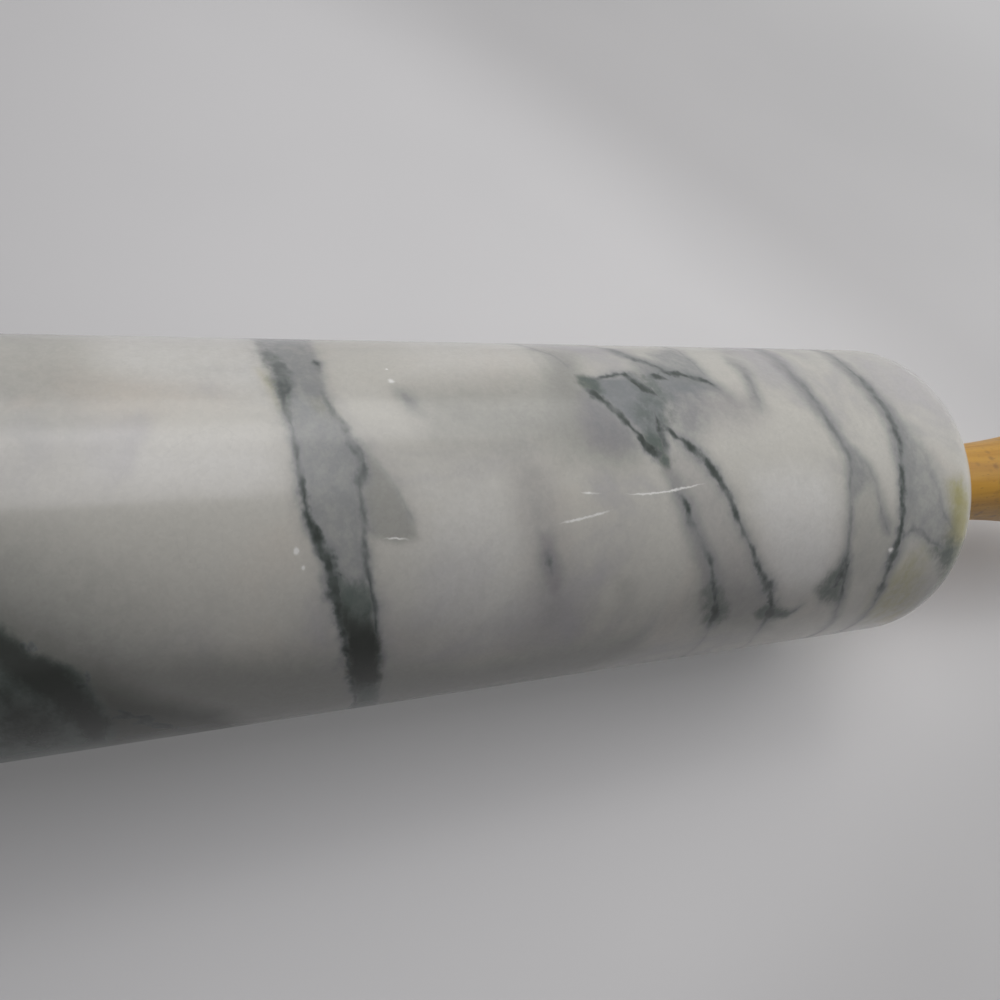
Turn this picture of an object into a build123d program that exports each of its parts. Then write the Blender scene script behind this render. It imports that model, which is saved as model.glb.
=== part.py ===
# Marble rolling pin: a stone barrel that turns on a steel axle between two turned wooden handles.
# Millimetres. The axle lies along X, +Z is up, and the origin is the barrel's centre.
# Each sub-part is made for the +X end, and the -X end gets its mirror image.

import os
from math import cos, radians

from build123d import *

# Marble barrel
barrel_diameter = 60.0
barrel_length = 254.0
shoulder_radius = 10.0
barrel_bore_diameter = 12.0
pocket_chamfer = 0.6

# Steel axle, with a chamfer at each tip
axle_diameter = 8.0
axle_chamfer = 0.8
axle_tail = 1.5

# Flanged bush: ribs on its sleeve grip the stone, and two lands in its bore run on the axle
bush_sleeve_diameter = 18.0
bush_sleeve_length = 24.0
bush_flange_diameter = 25.0
bush_flange_thickness = 2.0
bush_flange_chamfer = 0.6
bush_rib_count = 8
bush_rib_height = 0.8
bush_rib_width = 2.2
bush_rib_lead = 1.5
bush_land_length = 6.0
bush_relief_depth = 0.4
bush_end_space = 2.0

# Thrust washer between the bush's flange and the handle
thrust_washer_diameter = 20.0
thrust_washer_thickness = 1.2

# Wooden handle, turned in one piece: a bead beside the barrel, a cove, a neck, a grip and a nose
handle_length = 94.5
bead_diameter = 24.0
bead_width = 8.0
bead_rise = 1.6
cove_length = 4.5
neck_diameter = 17.0
grip_diameter = 27.5
nose_length = 15.0
nose_wall = 2.0
nose_round = 0.8

# Lock nut and washer at the bottom of the recess in the handle's outer end
nut_across_flats = 13.0
nut_height = 6.5
nut_collar_diameter = 12.0
nut_collar_height = 1.6
nut_collar_chamfer = 0.8
nut_corner_chamfer = 0.8
nut_washer_diameter = 15.0
nut_washer_thickness = 1.6

# Wooden button that closes the recess
plug_shank_length = 6.0
plug_shank_chamfer = 0.6
plug_lip = 0.9
plug_lip_thickness = 0.5
plug_dome_height = 3.4

# Clearances: on the radius, except the end play, which is along the axle
running_clearance = 0.05
glue_clearance = 0.05
axle_hole_clearance = 0.15
nut_thread_clearance = 0.05
recess_clearance = 0.45
plug_clearance = 0.1
end_play = 0.25

# How far a cutting solid reaches past the face that it cuts
overrun = 1.0

# Places along the axle that follow from the sizes above
barrel_face = barrel_length / 2
flange_face = barrel_face + bush_flange_thickness
washer_face = flange_face + end_play
handle_face = washer_face + thrust_washer_thickness
handle_end = handle_face + handle_length
nut_across_corners = nut_across_flats / cos(radians(30))
recess_diameter = max(nut_across_corners, nut_washer_diameter) + 2 * recess_clearance
nut_stack = nut_washer_thickness + nut_height + nut_collar_height
recess_depth = nut_stack + 2 * axle_tail + plug_shank_length
recess_floor = handle_end - recess_depth
axle_end = recess_floor + nut_stack + axle_tail
pocket_diameter = bush_sleeve_diameter + 2 * (bush_rib_height + glue_clearance)
pocket_depth = bush_sleeve_length + bush_end_space


def turned(outline):
    """A solid of revolution about the axle from the outline's edges, which close on it."""
    return revolve(make_face(outline), axis=Axis.X)


def cylinder_along_x(diameter, start, end):
    """A round bar on the axle from one place to another."""
    bar = Plane.YZ.offset(start) * Circle(diameter / 2)
    return extrude(bar, amount=end - start)


def marble_barrel():
    barrel = cylinder_along_x(barrel_diameter, -barrel_face, barrel_face)
    barrel = fillet(barrel.edges().filter_by(GeomType.CIRCLE), shoulder_radius)
    barrel -= cylinder_along_x(barrel_bore_diameter, -barrel_face - overrun, barrel_face + overrun)
    for side in (1, -1):
        mouth = Plane.YZ.offset(side * barrel_face)
        pocket = extrude(mouth * Circle(pocket_diameter / 2), amount=-side * pocket_depth)
        lead_in = Solid.make_cone(
            pocket_diameter / 2 + pocket_chamfer,
            pocket_diameter / 2,
            pocket_chamfer,
            Plane(origin=mouth.origin, z_dir=(-side, 0, 0)),
        )
        barrel -= [pocket, lead_in]
    return barrel


def axle_rod():
    rod = cylinder_along_x(axle_diameter, -axle_end, axle_end)
    return chamfer(rod.edges().filter_by(GeomType.CIRCLE), axle_chamfer)


def bush():
    bore_radius = axle_diameter / 2 + running_clearance
    sleeve_end = barrel_face - bush_sleeve_length
    sleeve = cylinder_along_x(bush_sleeve_diameter, sleeve_end, barrel_face)
    flange = cylinder_along_x(bush_flange_diameter, barrel_face, flange_face)
    flange = chamfer(flange.edges().group_by(Axis.X)[-1], bush_flange_chamfer)

    rib_reach = bush_sleeve_diameter / 2 + bush_rib_height
    rib_envelope = turned(
        Polyline(
            (sleeve_end, 0),
            (sleeve_end, bush_sleeve_diameter / 2),
            (sleeve_end + bush_rib_lead, rib_reach),
            (barrel_face, rib_reach),
            (barrel_face, 0),
            close=True,
        )
    )
    rib_bar = extrude(
        Plane.YZ.offset(sleeve_end) * Pos(rib_reach / 2, 0) * Rectangle(rib_reach, bush_rib_width),
        amount=bush_sleeve_length,
    )
    ribs = [rib_bar.rotate(Axis.X, 360 / bush_rib_count * turn) for turn in range(bush_rib_count)]
    body = sleeve + flange + (rib_envelope & (ribs[0] + ribs[1:]))

    body -= cylinder_along_x(2 * bore_radius, sleeve_end - overrun, flange_face + overrun)
    relief_start = sleeve_end + bush_land_length
    relief_end = flange_face - bush_land_length
    return body - cylinder_along_x(2 * (bore_radius + bush_relief_depth), relief_start, relief_end)


def thrust_washer():
    washer = cylinder_along_x(thrust_washer_diameter, washer_face, handle_face)
    hole = cylinder_along_x(
        axle_diameter + 2 * axle_hole_clearance, washer_face - overrun, handle_face + overrun
    )
    return washer - hole


def handle_outline():
    """The turned outline from the bead's face to the nose, closed along the axle."""
    foot = bead_diameter / 2 - bead_rise
    neck, grip = neck_diameter / 2, grip_diameter / 2
    nose = recess_diameter / 2 + nose_wall
    bead_top = (handle_face + bead_width / 2, foot + bead_rise)
    bead_end = handle_face + bead_width
    neck_start = bead_end + cove_length
    grip_place = handle_end - nose_length
    half_way = ((neck_start + grip_place) / 2, (neck + grip) / 2)
    return [
        Line((handle_face, 0), (handle_face, foot)),
        ThreePointArc((handle_face, foot), bead_top, (bead_end, foot)),
        TangentArc((neck_start, neck), (bead_end, foot), tangent=(-1, 0)),
        TangentArc((neck_start, neck), half_way, tangent=(1, 0)),
        TangentArc((grip_place, grip), half_way, tangent=(-1, 0)),
        TangentArc((grip_place, grip), (handle_end, nose), tangent=(1, 0)),
        Line((handle_end, nose), (handle_end, 0)),
        Line((handle_end, 0), (handle_face, 0)),
    ]


def handle():
    body = turned(handle_outline())
    body = fillet(body.edges().filter_by(GeomType.CIRCLE).group_by(Axis.X)[-1], nose_round)
    hole_diameter = axle_diameter + 2 * axle_hole_clearance
    body -= cylinder_along_x(hole_diameter, handle_face - overrun, recess_floor + overrun)
    body -= cylinder_along_x(recess_diameter, recess_floor, handle_end + overrun)
    return body


def nut_washer():
    washer = cylinder_along_x(nut_washer_diameter, recess_floor, recess_floor + nut_washer_thickness)
    hole_diameter = axle_diameter + 2 * axle_hole_clearance
    return washer - cylinder_along_x(hole_diameter, recess_floor - overrun, handle_end)


def lock_nut():
    """A hexagon with its corners turned off at both faces, and the round collar of the locking ring."""
    start = recess_floor + nut_washer_thickness
    end = start + nut_height
    hexagon = extrude(
        Plane.YZ.offset(start) * RegularPolygon(nut_across_flats / 2, 6, major_radius=False),
        amount=nut_height,
    )
    corner, face = nut_across_corners / 2, nut_across_corners / 2 - nut_corner_chamfer
    slope = nut_corner_chamfer / 2
    envelope = turned(
        Polyline(
            (start, 0),
            (start, face),
            (start + slope, corner),
            (end - slope, corner),
            (end, face),
            (end, 0),
            close=True,
        )
    )
    collar = cylinder_along_x(nut_collar_diameter, end, end + nut_collar_height)
    collar = chamfer(collar.edges().group_by(Axis.X)[-1], nut_collar_chamfer)
    hole_diameter = axle_diameter + 2 * nut_thread_clearance
    return (hexagon & envelope) + collar - cylinder_along_x(hole_diameter, start - overrun, handle_end)


def end_plug():
    """A button whose shank fits the recess, under a domed head that sits on the handle's nose."""
    shank = recess_diameter / 2 - plug_clearance
    head = recess_diameter / 2 + plug_lip
    shank_tip = handle_end - plug_shank_length
    lip_top = handle_end + plug_lip_thickness
    dome_top = handle_end + plug_dome_height
    return turned(
        [
            Line((shank_tip, 0), (shank_tip, shank - plug_shank_chamfer)),
            Line((shank_tip, shank - plug_shank_chamfer), (shank_tip + plug_shank_chamfer, shank)),
            Line((shank_tip + plug_shank_chamfer, shank), (handle_end, shank)),
            Line((handle_end, shank), (handle_end, head)),
            Line((handle_end, head), (lip_top, head)),
            TangentArc((dome_top, 0), (lip_top, head), tangent=(0, 1)),
            Line((dome_top, 0), (shank_tip, 0)),
        ]
    )


os.makedirs("parts", exist_ok=True)

for node, make in {"marble_barrel": marble_barrel, "axle_rod": axle_rod}.items():
    export_step(make(), f"parts/{node}.step")

for name, make in {
    "bush": bush,
    "thrust_washer": thrust_washer,
    "handle": handle,
    "nut_washer": nut_washer,
    "lock_nut": lock_nut,
    "end_plug": end_plug,
}.items():
    piece = make()
    export_step(piece, f"parts/right_{name}.step")
    export_step(mirror(piece, about=Plane.YZ), f"parts/left_{name}.step")

overall_length = 2 * (handle_end + plug_dome_height)
print(f"overall length {overall_length:.1f} mm, recess {recess_diameter:.2f} x {recess_depth:.1f} mm")
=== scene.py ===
from math import cos, pi, radians, sin

import bmesh
import bpy
import numpy as np
from mathutils import Matrix, Vector
from mathutils.bvhtree import BVHTree


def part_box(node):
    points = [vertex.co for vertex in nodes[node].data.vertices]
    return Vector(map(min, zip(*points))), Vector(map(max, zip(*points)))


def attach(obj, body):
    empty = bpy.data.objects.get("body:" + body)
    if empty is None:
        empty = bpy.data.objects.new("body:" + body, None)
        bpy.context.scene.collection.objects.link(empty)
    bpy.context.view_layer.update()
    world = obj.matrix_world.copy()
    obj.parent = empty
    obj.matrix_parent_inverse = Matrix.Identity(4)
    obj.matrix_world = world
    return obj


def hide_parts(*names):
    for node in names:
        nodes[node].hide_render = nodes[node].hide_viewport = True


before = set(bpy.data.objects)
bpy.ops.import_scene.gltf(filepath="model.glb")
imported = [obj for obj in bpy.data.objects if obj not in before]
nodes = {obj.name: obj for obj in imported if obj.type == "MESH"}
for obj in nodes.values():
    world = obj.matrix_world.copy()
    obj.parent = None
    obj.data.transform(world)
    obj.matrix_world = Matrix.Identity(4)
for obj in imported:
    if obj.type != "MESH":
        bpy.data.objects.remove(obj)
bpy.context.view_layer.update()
mm = 0.001
print("frame loaded:", len(nodes), "nodes")


# Camera, lamps and floor. Places and sizes are in metres.

view = {
    "place": (-0.0122, -0.06526, 0.11304),
    "aim": (0.04006, 0.0027, 0.0),
    "rollDegrees": 28.04,
    "lens": 28.0,
    "sensor": 36.0,
    "clip": (0.01, 50.0),
    "photoPixels": 1000,
}
studio = {
    "floorSide": 6.0,
    "floorColor": (0.62, 0.615, 0.625),
    "floorDimColor": (0.58, 0.578, 0.588),
    "floorCloud": (7.0, 2.0),               # scale and detail of where it is dimmer
    "floorCloudFade": (0.35, 0.7),
    "floorRoughness": 0.6,
    "floorGlow": (0.465, 0.462, 0.468),     # what the camera sees of it, so that the shadow stays pale
    "floorGlowShare": 0.3,
    "floorBlend": (0.14, 0.62),             # metres from the middle over which it becomes the background
    "backgroundColor": (0.52, 0.515, 0.52),
    "worldColor": (0.97, 0.98, 1.0),
    "worldStrength": 0.02,
}
# The floor's level, with painted light and shade: brighter or darker along a direction, from and to these
# metres, by this share
floorPaintedLight = {
    "farRight": ((1.0, 0.8), 0.20, 0.31, -0.24),
    "nearRight": ((1.0, -2.0), 0.19, 0.30, -0.14),
    "far": ((0.0, 1.0), 0.01, 0.09, 0.12),
    "left": ((1.0, 0.0), 0.02, -0.11, -0.15),
}
# The overhead panel's near edge shows as the lilac band on the left half of the barrel. The two fills light
# the object too, but no reflection shows them.
lamps = {
    "overheadPanel": {"place": (-0.09, 0.17, 1.0), "aim": (-0.09, 0.17, 0.0), "size": (0.42, 0.78),
                      "watts": 2.5, "color": (0.97, 0.95, 1.0), "mirrored": True},
    "farWindow": {"place": (0.2, 1.1, 1.7), "aim": (0.04, 0.0, 0.0), "size": (1.6, 1.0),
                  "watts": 8.8, "color": (1.0, 0.99, 0.97), "mirrored": True},
    "farRightFill": {"place": (0.36, 0.26, 0.62), "aim": (0.06, 0.0, 0.0), "size": (0.4, 0.4),
                     "watts": 1.2, "color": (1.0, 0.99, 0.97), "mirrored": False},
    "rightFill": {"place": (0.50, 0.0, 0.32), "aim": (0.08, 0.0, 0.0), "size": (0.3, 0.3),
                  "watts": 1.1, "color": (1.0, 0.99, 0.97), "mirrored": False},
}


def aimed(place, aim, rollDegrees=0.0):
    turn = (Vector(aim) - Vector(place)).to_track_quat("-Z", "Y").to_matrix()
    return Matrix.LocRotScale(Vector(place), turn @ Matrix.Rotation(radians(rollDegrees), 3, "Z"), None)


def addToScene(name, data):
    made = bpy.data.objects.new(name, data)
    bpy.context.scene.collection.objects.link(made)
    return made


camera = addToScene("camera", bpy.data.cameras.new("camera"))
camera.data.lens, camera.data.sensor_width = view["lens"], view["sensor"]
camera.data.clip_start, camera.data.clip_end = view["clip"]
cameraMatrix = aimed(view["place"], view["aim"], view["rollDegrees"])
camera.matrix_world = cameraMatrix
bpy.context.scene.camera = camera
bpy.context.scene.view_settings.view_transform = "Standard"

for lampName, lamp in lamps.items():
    light = bpy.data.lights.new(lampName, "AREA")
    light.shape = "RECTANGLE"
    light.size, light.size_y = lamp["size"]
    light.energy, light.color = lamp["watts"], lamp["color"]
    lampObject = addToScene(lampName, light)
    lampObject.matrix_world = aimed(lamp["place"], lamp["aim"])
    lampObject.visible_glossy = lamp["mirrored"]
print("camera and", len(lamps), "lamps placed")


# Helpers for shader trees

# A colour is written with three numbers, and its socket takes a fourth
def plug(tree, socket, value):
    if isinstance(value, bpy.types.NodeSocket):
        tree.links.new(value, socket)
    else:
        socket.default_value = (*value, 1) if socket.type == "RGBA" else value


def feed(tree, node, values):
    for socket, value in values.items():
        plug(tree, node.inputs[socket], value)


def addNode(tree, kind, inputs=None, **settings):
    made = tree.nodes.new(kind)
    for name, value in settings.items():
        setattr(made, name, value)
    feed(tree, made, inputs or {})
    return made


def calc(tree, operation, *values, clamp=False):
    made = addNode(tree, "ShaderNodeMath", dict(enumerate(values)), operation=operation, use_clamp=clamp)
    return made.outputs[0]


# 0 at the first value and 1 at the second, smooth between; either order
def fade(tree, value, zeroAt, oneAt):
    made = addNode(tree, "ShaderNodeMapRange", {"Value": value, "From Min": zeroAt, "From Max": oneAt},
                   interpolation_type="SMOOTHSTEP")
    return made.outputs["Result"]


# From one end of a range to the other, as the value goes from start to full
def between(tree, value, ends, start=0.0, full=1.0):
    made = addNode(tree, "ShaderNodeMapRange", {"Value": value, "From Min": start, "From Max": full,
                                                "To Min": ends[0], "To Max": ends[1]})
    return made.outputs["Result"]


def noise(tree, place, scale, detail=3.0, roughness=0.55, distortion=0.0):
    made = addNode(tree, "ShaderNodeTexNoise", {"Vector": place, "Scale": scale, "Detail": detail,
                                                "Roughness": roughness, "Distortion": distortion})
    return made.outputs


def mixColor(tree, share, first, second, blend="MIX"):
    inputs = {0: share, 6: first, 7: second}
    return addNode(tree, "ShaderNodeMix", inputs, data_type="RGBA", blend_type=blend).outputs[2]


def scaled(tree, vector, factor):
    return addNode(tree, "ShaderNodeVectorMath", {0: vector, "Scale": factor}, operation="SCALE").outputs[0]


# The place with its parts along the axle and aside from it scaled apart
def stretched(tree, place, along, aside):
    made = addNode(tree, "ShaderNodeVectorMath", {0: place, 1: (along, aside, aside)}, operation="MULTIPLY")
    return made.outputs[0]


def parted(tree, place):
    return addNode(tree, "ShaderNodeSeparateXYZ", {0: place}).outputs


def fromAxle(tree, place):
    parts = parted(tree, place)
    squares = [calc(tree, "MULTIPLY", parts[axis], parts[axis]) for axis in ("Y", "Z")]
    return calc(tree, "SQRT", calc(tree, "ADD", *squares))


def placeOn(tree):
    return addNode(tree, "ShaderNodeTexCoord").outputs["Object"]


def placeInMm(tree):
    return scaled(tree, placeOn(tree), 1 / mm)


def attribute(tree, name):
    return addNode(tree, "ShaderNodeAttribute", attribute_name=name).outputs


def splitColor(tree, color):
    return addNode(tree, "ShaderNodeSeparateColor", {0: color}).outputs


def bumped(tree, height, strength, depth):
    made = addNode(tree, "ShaderNodeBump", {"Height": height, "Strength": strength, "Distance": depth * mm})
    return made.outputs["Normal"]


def newMaterial(name):
    material = bpy.data.materials.new(name)
    material.use_nodes = True
    tree = material.node_tree
    return material, tree, tree.nodes["Principled BSDF"]


def newGroup(name, inputs, outputs):
    group = bpy.data.node_groups.new(name, "ShaderNodeTree")
    for inOut, sockets in (("INPUT", inputs), ("OUTPUT", outputs)):
        for socketName, kind in sockets.items():
            group.interface.new_socket(name=socketName, in_out=inOut, socket_type="NodeSocket" + kind)
    return group, group.nodes.new("NodeGroupInput").outputs, group.nodes.new("NodeGroupOutput").inputs


# 1 for what the camera sees, directly or mirrored
def seenShare(tree):
    path = addNode(tree, "ShaderNodeLightPath").outputs
    seen = calc(tree, "ADD", path["Is Camera Ray"], path["Is Glossy Ray"])
    return calc(tree, "ADD", seen, path["Is Transmission Ray"], clamp=True)


def mixShaders(tree, share, first, second):
    inputs = {0: share, 1: first.outputs[0], 2: second.outputs[0]}
    return addNode(tree, "ShaderNodeMixShader", inputs).outputs[0]


def makeWorld():
    world = bpy.data.worlds.new("studioWorld")
    bpy.context.scene.world = world
    world.use_nodes = True
    tree = world.node_tree
    tree.nodes.clear()
    lit = addNode(tree, "ShaderNodeBackground", {0: studio["worldColor"], 1: studio["worldStrength"]})
    shown = addNode(tree, "ShaderNodeBackground", {0: studio["backgroundColor"], 1: 1.0})
    addNode(tree, "ShaderNodeOutputWorld", {"Surface": mixShaders(tree, seenShare(tree), lit, shown)})


def makeFloor():
    shape = bmesh.new()
    bmesh.ops.create_grid(shape, x_segments=1, y_segments=1, size=studio["floorSide"] / 2)
    bmesh.ops.translate(shape, vec=(0, 0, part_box("marble_barrel")[0].z), verts=shape.verts)
    mesh = bpy.data.meshes.new("floor")
    shape.to_mesh(mesh)
    shape.free()
    material, tree, shader = newMaterial("floorPaper")
    place = placeOn(tree)
    cloud = fade(tree, noise(tree, place, *studio["floorCloud"])["Fac"], *studio["floorCloudFade"])
    color = mixColor(tree, cloud, studio["floorColor"], studio["floorDimColor"])
    parts = parted(tree, place)
    level = 1.0
    # Painted light and shade: the floor's colour, and its glow, brighten or darken along these directions
    for (alongX, alongY), start, end, change in floorPaintedLight.values():
        run = calc(tree, "MULTIPLY_ADD", parts["Y"], alongY, calc(tree, "MULTIPLY", parts["X"], alongX))
        paintedLightFactor = calc(tree, "MULTIPLY_ADD", fade(tree, run, start, end), change, 1.0)
        level = calc(tree, "MULTIPLY", level, paintedLightFactor)
    feed(tree, shader, {"Base Color": scaled(tree, color, level), "Roughness": studio["floorRoughness"]})
    away = addNode(tree, "ShaderNodeVectorMath", {0: place}, operation="LENGTH").outputs["Value"]
    blend = fade(tree, away, *studio["floorBlend"])
    glowColor = scaled(tree, studio["floorGlow"], level)
    glowColor = mixColor(tree, blend, glowColor, studio["backgroundColor"])
    glow = addNode(tree, "ShaderNodeEmission", {"Color": glowColor, "Strength": 1.0})
    share = calc(tree, "MAXIMUM", blend, studio["floorGlowShare"])
    share = calc(tree, "MULTIPLY", seenShare(tree), share)
    feed(tree, tree.nodes["Material Output"], {"Surface": mixShaders(tree, share, shader, glow)})
    mesh.materials.append(material)
    addToScene("floor", mesh)


makeWorld()
makeFloor()
print("studio ready")


# Marble barrel: its shape

barrel = {
    "shoulder": 10.0,
    "boreRadius": 6.0,
    "pocketRadius": 9.85,
    "pocketDepth": 26.0,
    "pocketChamfer": 0.6,
    "stepsRound": 286,
    "fineFrom": -42.0,      # from here to the right end, where the photograph shows it, the mesh is finer
    "fineStep": 0.76,
    "coarseStep": 1.25,
    "shoulderSteps": 16,
    "faceSteps": 9,
    "weld": 0.01,
    "creaseDegrees": 30.0,
}
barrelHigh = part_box("marble_barrel")[1] / mm
barrelRadius = barrelHigh.z
barrelEnd = barrelHigh.x
straightEnd = barrelEnd - barrel["shoulder"]
shoulderArc = barrel["shoulder"] * pi / 2
faceRadius = barrelRadius - barrel["shoulder"]


# Places (x, radius) of the outline in mm, from the left bore over the outside to the right bore
def barrelOutline():
    shoulder, chamfer, pocket = barrel["shoulder"], barrel["pocketChamfer"], barrel["pocketRadius"]
    bends = np.linspace(0, pi / 2, barrel["shoulderSteps"] + 1)
    end = [(straightEnd + shoulder * sin(bend), faceRadius + shoulder * cos(bend)) for bend in bends]
    rings = np.linspace(faceRadius, pocket + chamfer, barrel["faceSteps"] + 1)
    end += [(barrelEnd, radius) for radius in rings[1:]]
    pocketFloor = barrelEnd - barrel["pocketDepth"]
    end += [(barrelEnd - chamfer, pocket), (pocketFloor, pocket), (pocketFloor, barrel["boreRadius"])]
    coarse = np.arange(-straightEnd, barrel["fineFrom"], barrel["coarseStep"])
    fine = np.arange(barrel["fineFrom"], straightEnd, barrel["fineStep"])
    middle = [(x, barrelRadius) for x in [*coarse[1:], *fine]]
    return [(-x, radius) for x, radius in reversed(end)] + middle + end


def turnBarrel():
    shape = bmesh.new()
    ring = [shape.verts.new((x * mm, 0, radius * mm)) for x, radius in barrelOutline()]
    edges = [shape.edges.new(pair) for pair in zip(ring, ring[1:] + ring[:1])]
    bmesh.ops.spin(shape, geom=ring + edges, cent=(0, 0, 0), axis=(1, 0, 0), dvec=(0, 0, 0),
                   angle=2 * pi, steps=barrel["stepsRound"], use_merge=True, use_duplicate=False)
    bmesh.ops.remove_doubles(shape, verts=shape.verts, dist=barrel["weld"] * mm)
    bmesh.ops.recalc_face_normals(shape, faces=shape.faces)
    for face in shape.faces:
        face.smooth = True
    for edge in shape.edges:
        edge.smooth = edge.calc_face_angle(0.0) < radians(barrel["creaseDegrees"])
    return shape


barrelShape = turnBarrel()
barrelTree = BVHTree.FromBMesh(barrelShape)
barrelMesh = bpy.data.meshes.new("polishedBarrel")
barrelShape.to_mesh(barrelMesh)
barrelShape.free()
barrelPiece = addToScene("polished_barrel", barrelMesh)
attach(barrelPiece, "barrel")
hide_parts("marble_barrel")
print("barrel turned:", len(barrelMesh.polygons), "faces")


# Marble barrel: where its veins run
# Each mark is a place, the vein's full width in mm and its strength from 0 to 1. Places in "seen" are
# pixels of the photograph. Places in "before" and "after", on the side that it doesn't show, are mm along
# the outline from the barrel's middle and degrees round the axle, 0 at the top and less towards the camera.
# A closed line runs once round the barrel.

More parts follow.
